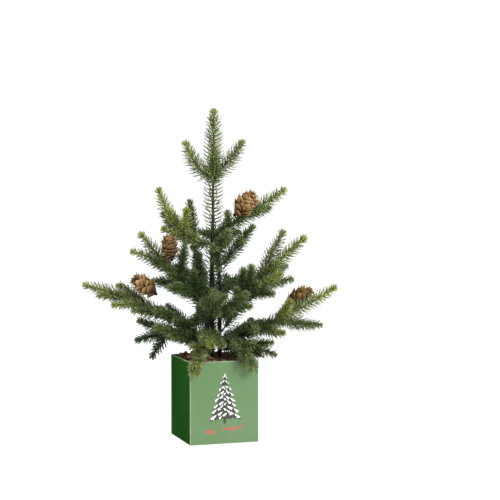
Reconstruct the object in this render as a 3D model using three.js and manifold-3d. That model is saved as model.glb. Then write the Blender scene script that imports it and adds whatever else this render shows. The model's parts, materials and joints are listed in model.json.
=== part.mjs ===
// Artificial tabletop spruce in a square wooden box. Millimetres, +Z up.
// The origin is the centre of the box's underside and the printed front faces -Y.
// Azimuths are in degrees about +Z from +X. Reaches are measured from the Z axis.
import * as THREE from "three";
import { mergeVertices } from "three/addons/utils/BufferGeometryUtils.js";
import Module from "manifold-3d";

const wasm = await Module();
wasm.setup();

// Driving dimensions of the box
const BOX_SIDE = 98;
const BOX_HEIGHT = 114;
const PANEL = 3;
const PANEL_BEVEL = 0.6;
const GAP = 0.3;

// Filling: a plaster weight, a foam block over it and a layer of bark chips
const WEIGHT_TOP = 30;
const FOAM_TOP = 96;
const CHIPS_TOP = 110;
const CHIPS_HEAP = 6.5;
const STEM_FOOT = 12;

// Foliage: half-width and half-thickness of a shoot's needle body, and the wire in it
const SHOOT_HALF_WIDTH = 7;
const SHOOT_HALF_THICK = 5;
const WIRE_RADIUS = 1.2;
const WIRE_CLEARANCE = 0.3;

// Trunk stems: centre line points [x, y, z] and radii at the same heights
const STEMS = {
  stem_main: {
    points: [[-4.2, 1.4, STEM_FOOT], [-4.2, 1.4, 160], [-2.6, 0.9, 230], [-1.5, 0.5, 287]],
    radii: [4.6, 4.5, 3.3, 2.8],
  },
  stem_right: {
    points: [[7.4, -2.4, STEM_FOOT], [7.4, -2.4, 160], [6.6, -2.2, 242]],
    radii: [3.1, 3.0, 2.5],
  },
  stem_rear: {
    points: [[-1.5, 9, STEM_FOOT], [-1.5, 9, 160], [-1, 7.8, 200]],
    radii: [2.3, 2.2, 1.9],
  },
};

// One row per wired branch. z and az place its root on a stem. tip is [reach, azimuth, z].
// bow lifts and out pushes the middle of its curve. bare is the length without needles.
// Each shoot is [place along the branch, reach, azimuth, z, bow] of its own tip.
const BRANCHES = [
  { name: "upper_left", stem: "stem_main", z: 272, az: 160, tip: [77, 162, 349], bow: -38, out: 12, bare: 9,
    shoots: [[0.42, 74, 150, 315, -6], [0.3, 72, 167, 294, -4], [0.42, 42, 190, 322, -12], [0.25, 53, 113, 331, -14],
      [0.1, 31, 171, 266, 2]] },
  { name: "upper_right", stem: "stem_main", z: 283, az: 338, tip: [100, 336, 348], bow: 0, out: 0, bare: 9,
    shoots: [[0.2, 25, 300, 318, -4], [0.45, 80, 352, 322, 0]] },
  { name: "upper_front", stem: "stem_main", z: 256, az: 265, tip: [66, 271, 293], bow: 0, out: 0, bare: 14,
    shoots: [[0.45, 58, 252, 268, 4], [0.3, 47, 284, 282, 0], [0.2, 36, 262, 237, 0]] },
  { name: "upper_back", stem: "stem_main", z: 266, az: 62, tip: [62, 54, 302], bow: -4, out: 0, bare: 12,
    shoots: [[0.45, 60, 94, 286, 0], [0.45, 60, 34, 286, 0]] },
  { name: "right_high", stem: "stem_right", z: 243, az: 335, tip: [56, 336, 298], bow: 0, out: 0, bare: 12,
    shoots: [[0.5, 44, 310, 282, -4]] },
  { name: "mid_left", stem: "stem_main", z: 175, az: 166, tip: [115, 167, 262], bow: 34, out: 0, bare: 16,
    shoots: [[0.52, 103, 164, 287, 4], [0.36, 44, 189, 276, 0], [0.25, 96, 137, 217, 4],
      [0.18, 37, 204, 238, -4], [0.12, 26, 200, 262, -6], [0.2, 82, 205, 216, 4]] },
  { name: "mid_right", stem: "stem_right", z: 152, az: 337, tip: [129, 331, 283], bow: 16, out: 0, bare: 20,
    shoots: [[0.36, 97, 338, 291, -2], [0.45, 105, 357, 240, 0], [0.42, 105, 313, 235, -6],
      [0.34, 110, 342, 222, 8], [0.22, 44, 320, 240, 0], [0.2, 40, 303, 213, 0],
      [0.3, 63, 308, 245, -2], [0.34, 76, 306, 221, 2], [0.34, 90, 319, 205, 2]] },
  { name: "mid_front", stem: "stem_main", z: 173, az: 250, tip: [100, 253, 215], bow: 2, out: 0, bare: 18,
    shoots: [[0.4, 84, 242, 197, 2], [0.4, 82, 264, 206, 2], [0.3, 60, 259, 180, 2],
      [0.25, 50, 230, 190, 2]] },
  { name: "mid_front_right", stem: "stem_right", z: 170, az: 290, tip: [92, 282, 210], bow: 2, out: 0, bare: 18,
    shoots: [[0.4, 74, 297, 189, 2], [0.3, 62, 277, 186, 2]] },
  { name: "mid_back_left", stem: "stem_main", z: 193, az: 112, tip: [52, 104, 265], bow: -20, out: 6, bare: 14,
    shoots: [[0.45, 70, 126, 238, 0], [0.4, 62, 93, 238, 0]] },
  { name: "mid_back", stem: "stem_rear", z: 196, az: 52, tip: [110, 41, 225], bow: 4, out: 0, bare: 16,
    shoots: [[0.45, 91, 54, 209, 0], [0.45, 106, 28, 212, 0], [0.3, 61, 64, 205, 0]] },
  { name: "low_left", stem: "stem_main", z: 139, az: 166, tip: [181, 165, 216], bow: 17, out: 0, bare: 18,
    shoots: [[0.48, 142, 173, 188, 8], [0.5, 137, 155, 213, 8], [0.14, 72, 141, 184, 2], [0.28, 88, 181, 182, 6],
      [0.15, 62, 190, 168, 2], [0.35, 115, 174, 181, 4]] },
  { name: "low_left_back", stem: "stem_main", z: 132, az: 148, tip: [114, 144, 162], bow: -3, out: 0, bare: 18,
    shoots: [[0.5, 114, 149, 133, 4], [0.55, 90, 152, 110, 2]] },
  { name: "low_left_front", stem: "stem_main", z: 136, az: 186, tip: [88, 182, 160], bow: -4, out: 0, bare: 16,
    shoots: [[0.45, 74, 196, 146, 2]] },
  { name: "low_back", stem: "stem_rear", z: 146, az: 84, tip: [140, 80, 194], bow: 4, out: 0, bare: 18,
    shoots: [[0.3, 104, 98, 148, 2], [0.35, 106, 58, 176, 2], [0.55, 118, 90, 146, 0], [0.55, 122, 70, 208, 0]] },
  { name: "low_right_back", stem: "stem_right", z: 142, az: 14, tip: [88, 6, 160], bow: 0, out: 0, bare: 18,
    shoots: [[0.42, 68, 22, 149, 0], [0.5, 86, 355, 148, 0]] },
  { name: "low_right", stem: "stem_right", z: 134, az: 340, tip: [170, 338, 213], bow: -12, out: 0, bare: 20,
    shoots: [[0.5, 113, 321, 197, -4], [0.5, 152, 349, 157, -6], [0.34, 104, 321, 151, -2],
      [0.24, 75, 302, 160, 0]] },
  { name: "low_right_rim", stem: "stem_right", z: 124, az: 330, tip: [87, 337, 117], bow: 12, out: 0, bare: 16,
    shoots: [[0.42, 87, 322, 137, 4]] },
  { name: "front_left_rim", stem: "stem_main", z: 135, az: 222, tip: [76, 235, 97], bow: 22, out: 26, bare: 14,
    shoots: [] },
  { name: "front_centre", stem: "stem_main", z: 147, az: 248, tip: [92, 251, 141], bow: 8, out: 0, bare: 16,
    shoots: [[0.4, 70, 263, 136, 4], [0.4, 72, 239, 146, 4]] },
  { name: "front_right_rim", stem: "stem_right", z: 138, az: 292, tip: [74, 297, 101], bow: 22, out: 24, bare: 14,
    shoots: [[0.4, 70, 296, 118, 4], [0.3, 62, 285, 134, 2]] },
];

// The crown stands on the top of the main stem and carries side shoots like a branch
const CROWN = {
  foot: [-1.5, 0.5, 289.4], tip: [0, 0, 458], bare: 15,
  shoots: [[0.46, 40, 162, 414, -29], [0.46, 41, 342, 415, -11], [0.42, 36, 72, 402, -18]],
};

// Pine cones: [x, y, z] of the stalk end and of the tip, and the largest radius
const CONES = {
  cone_upper_right: { foot: [20, -28, 311], tip: [49, -36, 344], radius: 13.5 },
  cone_mid_left: { foot: [-61, -3, 249], tip: [-67, 0, 285], radius: 12 },
  cone_low_left: { foot: [-79, 8, 202], tip: [-112, 20, 228], radius: 13 },
  cone_low_right: { foot: [97, -21, 189], tip: [135, -33, 207], radius: 12 },
};

const rad = THREE.MathUtils.degToRad;
const around = (az) => new THREE.Vector3(Math.cos(rad(az)), Math.sin(rad(az)), 0);
const polar = (reach, az, z) => around(az).multiplyScalar(reach).setZ(z);
const vec = (p) => new THREE.Vector3(...p);

// Turns a manifold solid into a three.js geometry and back
function toGeometry(solid) {
  const mesh = solid.getMesh();
  const geometry = new THREE.BufferGeometry();
  geometry.setAttribute("position", new THREE.BufferAttribute(new Float32Array(mesh.vertProperties), 3));
  geometry.setIndex(Array.from(mesh.triVerts));
  geometry.computeVertexNormals();
  return geometry;
}

function toSolid(geometry) {
  const bare = geometry.clone();
  bare.deleteAttribute("normal");
  bare.deleteAttribute("uv");
  const merged = mergeVertices(bare, 1e-3);
  return new wasm.Manifold(
    new wasm.Mesh({
      numProp: 3,
      vertProperties: merged.attributes.position.array,
      triVerts: new Uint32Array(merged.index.array),
    }),
  );
}

// A closed solid swept along points, with an elliptical section of [half-width, half-thickness]
function sweep(points, sections, sides, level = new THREE.Vector3(0, 0, 1)) {
  const vertices = [];
  const triangles = [];
  points.forEach((point, i) => {
    const before = points[Math.max(i - 1, 0)];
    const after = points[Math.min(i + 1, points.length - 1)];
    const along = after.clone().sub(before).normalize();
    const across = along.clone().cross(level).normalize();
    const up = across.clone().cross(along);
    for (let k = 0; k < sides; k += 1) {
      const turn = (2 * Math.PI * k) / sides;
      const corner = point.clone()
        .addScaledVector(across, sections[i][0] * Math.cos(turn))
        .addScaledVector(up, sections[i][1] * Math.sin(turn));
      vertices.push(...corner.toArray());
    }
  });
  const last = (points.length - 1) * sides;
  for (let i = 0; i < last; i += sides) {
    for (let k = 0; k < sides; k += 1) {
      const next = (k + 1) % sides;
      triangles.push(i + k, i + sides + k, i + next);
      triangles.push(i + next, i + sides + k, i + sides + next);
    }
  }
  for (let k = 1; k < sides - 1; k += 1) {
    triangles.push(0, k, k + 1);
    triangles.push(last, last + k + 1, last + k);
  }
  const geometry = new THREE.BufferGeometry();
  geometry.setAttribute("position", new THREE.BufferAttribute(new Float32Array(vertices), 3));
  geometry.setIndex(triangles);
  return toSolid(geometry);
}

// Points of a curve from one end to the other, its middle lifted by bow and pushed by out
function arc(from, to, bow, out, count, start = 0, end = 1) {
  const push = to.clone().sub(from).setZ(0).normalize().multiplyScalar(out);
  const middle = from.clone().add(to).multiplyScalar(0.5).add(push);
  middle.z += bow;
  const curve = new THREE.QuadraticBezierCurve3(from, middle, to);
  return Array.from({ length: count }, (_, i) => curve.getPoint(start + ((end - start) * i) / (count - 1)));
}

// The needle body of one shoot: slim where it starts, full, then rounded at its tip
const FULLNESS = [0.45, 0.9, 1, 0.95, 0.8, 0.62, 0.2];
function shootBody(path, size = 1) {
  const sections = FULLNESS.map((f) => [f * SHOOT_HALF_WIDTH * size, f * SHOOT_HALF_THICK * size]);
  return sweep(path, sections, 6);
}

function wireBody(path, radius, level) {
  return sweep(path, path.map(() => [radius, radius]), 6, level);
}

// Centre and radius of a stem at a height
function stemAt(name, z) {
  const { points, radii } = STEMS[name];
  let i = 1;
  while (i < points.length - 1 && z > points[i][2]) i += 1;
  const t = Math.min(Math.max((z - points[i - 1][2]) / (points[i][2] - points[i - 1][2]), 0), 1);
  const centre = vec(points[i - 1]).lerp(vec(points[i]), t).setZ(z);
  return { centre, radius: radii[i - 1] + (radii[i] - radii[i - 1]) * t };
}

// Where a branch's wire leaves its stem. The wire can turn about this point.
function rootOf(branch) {
  const { centre, radius } = stemAt(branch.stem, branch.z);
  return centre.addScaledVector(around(branch.az), radius + WIRE_RADIUS + GAP);
}

// A wire and the needle body threaded on it, with its side shoots joined on
function branchSolids(root, tip, { bow, out, bare, shoots }, level) {
  const length = root.distanceTo(tip);
  const start = bare / length;
  const curve = (count, from, to) => arc(root, tip, bow, out, count, from, to);
  let body = sweep(
    curve(FULLNESS.length, start, 1),
    FULLNESS.map((f) => [f * SHOOT_HALF_WIDTH, f * SHOOT_HALF_THICK]),
    6,
    level,
  );
  for (const [at, reach, az, z, lift] of shoots) {
    const from = curve(2, at, 1)[0];
    body = body.add(shootBody(arc(from, polar(reach, az, z), lift, 0, FULLNESS.length), 0.9));
  }
  const bore = wireBody(curve(9, start - 0.05, 0.82), WIRE_RADIUS + WIRE_CLEARANCE, level);
  const wire = wireBody(curve(9, 0, 0.8), WIRE_RADIUS, level);
  return { wire, body: body.subtract(bore) };
}

// A cone with overlapping tiers of scales on a short stalk, widest past its middle
const STALK = 3;
const TIERS = [0.5, 0.76, 0.93, 1, 0.98, 0.8];
function coneBody({ foot, tip, radius }) {
  const axis = vec(tip).sub(vec(foot));
  const length = axis.length();
  const profile = [new THREE.Vector2(0, 0), new THREE.Vector2(2, 0), new THREE.Vector2(2.2, STALK)];
  TIERS.forEach((share, i) => {
    const low = STALK + ((length - STALK - 1) * i) / TIERS.length;
    const high = STALK + ((length - STALK - 1) * (i + 0.75)) / TIERS.length;
    profile.push(new THREE.Vector2(radius * share * 0.84, low + 0.4));
    profile.push(new THREE.Vector2(radius * share, high));
  });
  profile.push(new THREE.Vector2(0, length));
  const lathe = new THREE.LatheGeometry(profile, 10);
  lathe.rotateX(Math.PI / 2);
  lathe.applyQuaternion(new THREE.Quaternion().setFromUnitVectors(new THREE.Vector3(0, 0, 1), axis.normalize()));
  lathe.translate(...foot);
  return toSolid(lathe);
}

// A board with its edges eased all round
function board(low, high, bevel) {
  const corners = [];
  const inset = [[0, bevel, bevel], [bevel, 0, bevel], [bevel, bevel, 0]];
  for (const [dx, dy, dz] of inset) {
    for (const sx of [0, 1]) {
      for (const sy of [0, 1]) {
        for (const sz of [0, 1]) {
          corners.push([
            sx ? high[0] - dx : low[0] + dx,
            sy ? high[1] - dy : low[1] + dy,
            sz ? high[2] - dz : low[2] + dz,
          ]);
        }
      }
    }
  }
  return wasm.Manifold.hull(corners);
}

// A layer of bark chips: an uneven top over a flat underside
function chipLayer(half, low, high) {
  const count = 9;
  const vertices = [];
  const triangles = [];
  const index = (layer, i, j) => (layer * count + i) * count + j;
  for (let layer = 0; layer < 2; layer += 1) {
    for (let i = 0; i < count; i += 1) {
      for (let j = 0; j < count; j += 1) {
        const x = half * ((2 * i) / (count - 1) - 1);
        const y = half * ((2 * j) / (count - 1) - 1);
        const heap = CHIPS_HEAP * Math.cos(0.02 * (x + 20)) * Math.cos(0.02 * (y - 25));
        const uneven = 0.9 * Math.sin(1.7 * i + 0.6 * j) + 0.7 * Math.cos(2.3 * j - 0.8 * i);
        vertices.push(x, y, layer ? high - 2 + heap + uneven : low);
      }
    }
  }
  const quad = (a, b, c, d) => triangles.push(a, b, c, a, c, d);
  for (let i = 0; i < count - 1; i += 1) {
    for (let j = 0; j < count - 1; j += 1) {
      quad(index(1, i, j), index(1, i + 1, j), index(1, i + 1, j + 1), index(1, i, j + 1));
    }
  }
  const end = count - 1;
  for (let i = 0; i < end; i += 1) {
    quad(index(0, i, 0), index(0, i + 1, 0), index(1, i + 1, 0), index(1, i, 0));
    quad(index(0, i + 1, end), index(0, i, end), index(1, i, end), index(1, i + 1, end));
    quad(index(0, 0, i + 1), index(0, 0, i), index(1, 0, i), index(1, 0, i + 1));
    quad(index(0, end, i), index(0, end, i + 1), index(1, end, i + 1), index(1, end, i));
    for (let j = 0; j < end; j += 1) {
      quad(index(0, i, j), index(0, i, j + 1), index(0, i + 1, j + 1), index(0, i + 1, j));
    }
  }
  const geometry = new THREE.BufferGeometry();
  geometry.setAttribute("position", new THREE.BufferAttribute(new Float32Array(vertices), 3));
  geometry.setIndex(triangles);
  return toSolid(geometry);
}

const group = new THREE.Group();

function addPart(name, solid, color, roughness) {
  const mesh = new THREE.Mesh(toGeometry(solid), new THREE.MeshStandardMaterial({ color, roughness }));
  mesh.name = name;
  group.add(mesh);
}

// The box: two full-width panels with two side panels and a base between them
const half = BOX_SIDE / 2;
const inner = half - PANEL - GAP;
const boardColor = 0x6f9a66;
addPart("box_front", board([-half, -half, 0], [half, -half + PANEL, BOX_HEIGHT], PANEL_BEVEL), boardColor, 0.45);
addPart("box_back", board([-half, half - PANEL, 0], [half, half, BOX_HEIGHT], PANEL_BEVEL), boardColor, 0.45);
addPart("box_left", board([-half, -inner, 0], [-half + PANEL, inner, BOX_HEIGHT], PANEL_BEVEL), 0x2f5a30, 0.45);
addPart("box_right", board([half - PANEL, -inner, 0], [half, inner, BOX_HEIGHT], PANEL_BEVEL), 0x2f5a30, 0.45);
addPart("box_base", board([-inner, -inner, 0], [inner, inner, PANEL], 0.4), 0xb59a6c, 0.7);

// The trunk's stems and the bores that they leave in the filling
const stems = {};
const bores = {};
for (const [name, { points, radii }] of Object.entries(STEMS)) {
  const path = points.map(vec);
  const level = new THREE.Vector3(1, 0, 0);
  stems[name] = sweep(path, radii.map((r) => [r, r]), 12, level);
  bores[name] = sweep(
    [path[0].clone().setZ(STEM_FOOT - GAP), path[1]],
    [radii[0] + GAP, radii[0] + GAP].map((r) => [r, r]),
    12,
    level,
  );
}
const bored = (solid) => Object.values(bores).reduce((rest, bore) => rest.subtract(bore), solid);
const weight = board([-inner, -inner, PANEL + GAP], [inner, inner, WEIGHT_TOP], 1.5);
const foam = board([-inner, -inner, WEIGHT_TOP + GAP], [inner, inner, FOAM_TOP], 1);
addPart("plaster_weight", bored(weight), 0xd8d4cc, 0.9);
addPart("foam_block", bored(foam), 0x3c5a3a, 0.9);
addPart("bark_chips", bored(chipLayer(inner, FOAM_TOP + GAP, CHIPS_TOP)), 0x5a3d28, 0.95);
for (const [name, solid] of Object.entries(stems)) addPart(name, solid, 0x2a2320, 0.8);

// The crown
const upright = new THREE.Vector3(0, 1, 0);
const crown = branchSolids(vec(CROWN.foot), vec(CROWN.tip), { bow: 0, out: 0, ...CROWN }, upright);
addPart("crown_wire", crown.wire, 0x2c2a22, 0.8);
addPart("crown_spray", crown.body, 0x4c6a44, 0.7);

// The wired branches
for (const branch of BRANCHES) {
  const { wire, body } = branchSolids(rootOf(branch), polar(...branch.tip), branch);
  addPart(`${branch.name}_wire`, wire, 0x2c2a22, 0.8);
  addPart(`${branch.name}_spray`, body, 0x3f5c3c, 0.7);
}

// The pine cones
for (const [name, cone] of Object.entries(CONES)) addPart(name, coneBody(cone), 0xa07850, 0.8);

export default group;
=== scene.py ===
import json
import math

import bpy
import numpy as np
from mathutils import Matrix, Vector


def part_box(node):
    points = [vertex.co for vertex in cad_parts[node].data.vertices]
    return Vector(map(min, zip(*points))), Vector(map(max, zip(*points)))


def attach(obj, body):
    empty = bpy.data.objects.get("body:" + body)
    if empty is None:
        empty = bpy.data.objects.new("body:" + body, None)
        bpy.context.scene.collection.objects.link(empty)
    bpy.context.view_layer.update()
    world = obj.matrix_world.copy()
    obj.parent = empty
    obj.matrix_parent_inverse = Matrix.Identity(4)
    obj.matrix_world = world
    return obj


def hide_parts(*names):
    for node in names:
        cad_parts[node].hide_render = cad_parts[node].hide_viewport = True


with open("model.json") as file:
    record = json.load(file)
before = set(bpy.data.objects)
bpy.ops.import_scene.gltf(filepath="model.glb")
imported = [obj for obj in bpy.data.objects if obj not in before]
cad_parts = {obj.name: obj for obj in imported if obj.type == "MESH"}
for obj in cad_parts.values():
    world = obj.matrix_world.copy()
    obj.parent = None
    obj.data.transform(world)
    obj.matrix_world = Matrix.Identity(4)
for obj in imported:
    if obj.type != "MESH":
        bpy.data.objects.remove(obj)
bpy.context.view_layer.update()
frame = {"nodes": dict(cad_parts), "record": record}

RNG = np.random.default_rng(18)
MM = 0.001
UP = np.array([0.0, 0.0, 1.0])

# ---------------------------------------------------------------- branch table
# The rows give the same branches as the CAD sprays. tip is (reach from the axis, azimuth, height).
# bow lifts the middle of a branch, out pushes it outwards, and bare is the length of wire without needles.
# Each shoot is (place along the branch, reach, azimuth, height, bow, youth of its tip).
# youth runs from 0, dark old green, to 1, fresh yellow-green: (at the root, at the tip).
# sprigs is (how many, from, to): short twigs that fill a branch between two places along it.
BRANCHES = {
    "upper_left": dict(
        tip=(77, 162, 349), bow=-38, out=12, bare=9, youth=(0.55, 1.0), sprigs=(7, 0.1, 0.65),
        shoots=[(0.42, 74, 150, 315, -6, 0.55), (0.3, 72, 167, 294, -4, 0.9),
                (0.42, 42, 190, 322, -12, 1.0), (0.25, 53, 113, 331, -14, 0.4),
                (0.1, 31, 171, 266, 2, 0.3)]),
    "upper_right": dict(
        tip=(100, 336, 348), bow=0, out=0, bare=9, youth=(0.1, 0.95), sprigs=(2, 0.25, 0.5),
        shoots=[(0.2, 25, 300, 318, -4, 0.5), (0.45, 80, 352, 322, 0, 0.2)]),
    "upper_front": dict(
        tip=(66, 271, 293), bow=0, out=0, bare=14, youth=(0.1, 0.3),
        shoots=[(0.45, 58, 252, 268, 4, 0.2), (0.3, 47, 284, 282, 0, 0.2),
                (0.2, 36, 262, 237, 0, 0.1)]),
    "upper_back": dict(
        tip=(62, 54, 302), bow=-4, out=0, bare=12, youth=(0.1, 0.4),
        shoots=[(0.45, 60, 94, 286, 0, 0.3), (0.45, 60, 34, 286, 0, 0.2)]),
    "right_high": dict(
        tip=(56, 336, 298), bow=0, out=0, bare=12, youth=(0.1, 0.35),
        shoots=[(0.5, 44, 310, 282, -4, 0.25)]),
    "mid_left": dict(
        tip=(115, 167, 262), bow=34, out=0, bare=16, youth=(0.08, 0.7), sprigs=(7, 0.12, 0.6),
        shoots=[(0.52, 103, 164, 287, 4, 0.65), (0.36, 44, 189, 276, 0, 0.25),
                (0.25, 96, 137, 217, 4, 0.1), (0.18, 37, 204, 238, -4, 0.15),
                (0.12, 26, 200, 262, -6, 0.1), (0.2, 82, 205, 216, 4, 0.2)]),
    "mid_right": dict(
        tip=(129, 331, 283), bow=16, out=0, bare=20, youth=(0.1, 1.0), sprigs=(7, 0.15, 0.6),
        shoots=[(0.36, 97, 338, 291, -2, 0.65), (0.45, 105, 357, 240, 0, 0.2),
                (0.42, 105, 313, 235, -6, 0.8), (0.34, 110, 342, 222, 8, 0.35),
                (0.22, 44, 320, 240, 0, 0.4), (0.2, 40, 303, 213, 0, 0.3), (0.3, 63, 308, 245, -2, 0.3),
                (0.34, 76, 306, 221, 2, 0.25), (0.34, 90, 319, 205, 2, 0.3)]),
    "mid_front": dict(
        tip=(100, 253, 215), bow=2, out=0, bare=18, youth=(0.1, 0.3), sprigs=(3, 0.2, 0.5),
        shoots=[(0.4, 84, 242, 197, 2, 0.15), (0.4, 82, 264, 206, 2, 0.3), (0.3, 60, 259, 180, 2, 0.15),
                (0.25, 50, 230, 190, 2, 0.1)]),
    "mid_front_right": dict(
        tip=(92, 282, 210), bow=2, out=0, bare=18, youth=(0.08, 0.3),
        shoots=[(0.4, 74, 297, 189, 2, 0.3), (0.3, 62, 277, 186, 2, 0.25)]),
    "mid_back_left": dict(
        tip=(52, 104, 265), bow=-20, out=6, bare=14, youth=(0.05, 0.1), sprigs=(2, 0.3, 0.5),
        shoots=[(0.45, 70, 126, 238, 0, 0.1), (0.4, 62, 93, 238, 0, 0.1)]),
    "mid_back": dict(
        tip=(110, 41, 225), bow=4, out=0, bare=16, youth=(0.05, 0.5), sprigs=(4, 0.2, 0.6),
        shoots=[(0.45, 91, 54, 209, 0, 0.35), (0.45, 106, 28, 212, 0, 0.25),
                (0.3, 61, 64, 205, 0, 0.2)]),
    "low_left": dict(
        tip=(181, 165, 216), bow=17, out=0, bare=18, youth=(0.1, 0.75), sprigs=(8, 0.15, 0.8),
        shoots=[(0.48, 142, 173, 188, 8, 0.8), (0.5, 137, 155, 213, 8, 0.5),
                (0.14, 72, 141, 184, 2, 0.0), (0.28, 88, 181, 182, 6, 0.35),
                (0.15, 62, 190, 168, 2, 0.3), (0.35, 115, 174, 181, 4, 0.4)]),
    "low_left_back": dict(
        tip=(114, 144, 162), bow=-3, out=0, bare=18, youth=(0.0, 0.05), sprigs=(3, 0.2, 0.5),
        shoots=[(0.5, 114, 149, 133, 4, 0.05), (0.55, 90, 152, 110, 2, 0.02)]),
    "low_left_front": dict(
        tip=(88, 182, 160), bow=-4, out=0, bare=16, youth=(0.1, 0.4),
        shoots=[(0.45, 74, 196, 146, 2, 0.35)]),
    "low_back": dict(
        tip=(140, 80, 194), bow=4, out=0, bare=18, youth=(0.05, 0.55), sprigs=(4, 0.2, 0.6),
        shoots=[(0.3, 104, 98, 148, 2, 0.3), (0.35, 106, 58, 176, 2, 0.35),
                (0.55, 118, 90, 146, 0, 0.2), (0.55, 122, 70, 208, 0, 0.4)]),
    "low_right_back": dict(
        tip=(88, 6, 160), bow=0, out=0, bare=18, youth=(0.05, 0.15), sprigs=(2, 0.25, 0.5),
        shoots=[(0.42, 68, 22, 149, 0, 0.15), (0.5, 86, 355, 148, 0, 0.15)]),
    "low_right": dict(
        tip=(170, 338, 213), bow=-12, out=0, bare=20, youth=(0.08, 1.0), sprigs=(6, 0.15, 0.6),
        shoots=[(0.5, 113, 321, 197, -4, 1.0), (0.5, 152, 349, 157, -6, 0.35),
                (0.34, 104, 321, 151, -2, 0.65), (0.24, 75, 302, 160, 0, 0.3)]),
    "low_right_rim": dict(
        tip=(87, 337, 117), bow=12, out=0, bare=16, youth=(0.08, 0.35), sprigs=(3, 0.15, 0.5),
        shoots=[(0.42, 87, 322, 137, 4, 0.35)]),
    "front_left_rim": dict(
        tip=(76, 235, 97), bow=22, out=26, bare=14, youth=(0.45, 0.8), sprigs=(3, 0.3, 0.7),
        shoots=[]),
    "front_centre": dict(
        tip=(92, 251, 141), bow=8, out=0, bare=16, youth=(0.15, 0.9), sprigs=(4, 0.2, 0.5),
        shoots=[(0.4, 70, 263, 136, 4, 0.35), (0.4, 72, 239, 146, 4, 0.45)]),
    "front_right_rim": dict(
        tip=(74, 297, 101), bow=22, out=24, bare=14, youth=(0.15, 0.5), sprigs=(4, 0.25, 0.7),
        shoots=[(0.4, 70, 296, 118, 4, 0.45), (0.3, 62, 285, 134, 2, 0.3)]),
}
# open_part is the share of a shoot, from its root, with thin rows. stretch makes all needles longer.
CROWN = dict(
    tip=(0, 0, 458), bow=0, out=0, bare=15, youth=(0.25, 0.65), open_part=0.42, stretch=1.14,
    shoots=[(0.46, 40, 162, 414, -29, 0.65), (0.46, 41, 342, 415, -11, 0.6),
            (0.42, 36, 72, 402, -18, 0.4)])

# open gives how far the scales stand from the axis and wide their widths, both from the foot to the tip.
# loose is how unevenly they stand, in degrees.
# shade runs from 0, darker, to 1, paler: the range that the scales of a cone take. Each scale takes a random
# value in it; the cones on the left get lower ranges than the rest, painted shade.
PLATED = dict(open=(58, 38, 32, 40, 26), wide=(0.85, 1.0, 0.72, 0.34), loose=5)
LAYERED = dict(open=(86, 68, 54, 38, 14), wide=(0.8, 1.0, 0.9, 0.5), loose=2.5)
CONES = {
    "cone_upper_right": dict(body="upper_right", foot=(20, -28, 311), tip=(49, -36, 344), radius=13.5,
                             scales=76, shade=(0.45, 1.0), **PLATED),
    "cone_mid_left": dict(body="mid_left", foot=(-61, -3, 249), tip=(-67, 0, 285), radius=12,
                          scales=96, shade=(0.0, 0.5), **LAYERED),
    "cone_low_left": dict(body="low_left", foot=(-79, 8, 202), tip=(-112, 20, 228), radius=13,
                          scales=70, shade=(0.0, 0.62), **PLATED),
    "cone_low_right": dict(body="low_right", foot=(97, -21, 189), tip=(135, -33, 207), radius=12,
                           scales=64, shade=(0.3, 1.0), **PLATED),
}

STEMS = {
    "stem_main": dict(points=[(-4.2, 1.4, 12), (-4.2, 1.4, 160), (-2.6, 0.9, 230), (-1.5, 0.5, 287)],
                      radii=[4.6, 4.5, 3.3, 2.8]),
    "stem_right": dict(points=[(7.4, -2.4, 12), (7.4, -2.4, 160), (6.6, -2.2, 242)], radii=[3.1, 3.0, 2.5]),
    "stem_rear": dict(points=[(-1.5, 9, 12), (-1.5, 9, 160), (-1, 7.8, 200)], radii=[2.3, 2.2, 1.9]),
}


# ---------------------------------------------------------------- small helpers
def srgb(r, g, b):
    """A display colour from 0 to 255 as the linear colour that a shader takes."""
    def linear(c):
        c /= 255
        return c / 12.92 if c <= 0.04045 else ((c + 0.055) / 1.055) ** 2.4
    return (linear(r), linear(g), linear(b), 1.0)


def unit(v):
    """The vector scaled to a length of one."""
    return v / max(np.linalg.norm(v), 1e-12)


def polar(reach, azimuth, z):
    """A point in metres from its distance to the axis, its azimuth in degrees and its height."""
    a = math.radians(azimuth)
    return np.array([reach * math.cos(a), reach * math.sin(a), z]) * MM


class Soup:
    """Vertices and faces of one piece, with a material number per face and a colour per vertex."""

    def __init__(self):
        self.verts, self.faces, self.mats, self.tones, self.count = [], [], [], [], 0

    def add(self, verts, faces, mat=0, tone=(0.5, 0.5, 0.5)):
        verts = np.asarray(verts, float).reshape(-1, 3)
        self.verts.append(verts)
        self.faces.extend(tuple(int(i) + self.count for i in f) for f in faces)
        self.mats.extend([mat] * len(faces))
        tone = np.broadcast_to(np.asarray(tone, float), (len(verts), 3))
        self.tones.append(tone)
        self.count += len(verts)

    def make(self, name, materials, smooth=True):
        mesh = bpy.data.meshes.new(name)
        verts = np.concatenate(self.verts)
        mesh.from_pydata(verts.tolist(), [], self.faces)
        for m in materials:
            mesh.materials.append(m)
        mesh.polygons.foreach_set("material_index", self.mats)
        mesh.polygons.foreach_set("use_smooth", [smooth] * len(self.faces))
        tone = mesh.color_attributes.new("tone", "FLOAT_COLOR", "POINT")
        rgba = np.ones((len(verts), 4))
        rgba[:, :3] = np.concatenate(self.tones)
        tone.data.foreach_set("color", rgba.ravel())
        mesh.update()
        obj = bpy.data.objects.new(name, mesh)
        bpy.context.scene.collection.objects.link(obj)
        return obj


def settle(obj, body, nodes):
    """Lets a piece ride on its body and stand for its CAD nodes."""
    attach(obj, body)
    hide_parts(*nodes)
    return obj


def ring_faces(rings, sides, closed=True):
    """Quads between the rings of a tube, with both ends capped if it is closed."""
    faces = []
    for i in range(rings - 1):
        for k in range(sides):
            a, b = i * sides + k, i * sides + (k + 1) % sides
            faces.append((a, b, b + sides, a + sides))
    if closed:
        faces.append(tuple(range(sides - 1, -1, -1)))
        last = (rings - 1) * sides
        faces.append(tuple(last + k for k in range(sides)))
    return faces


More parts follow.
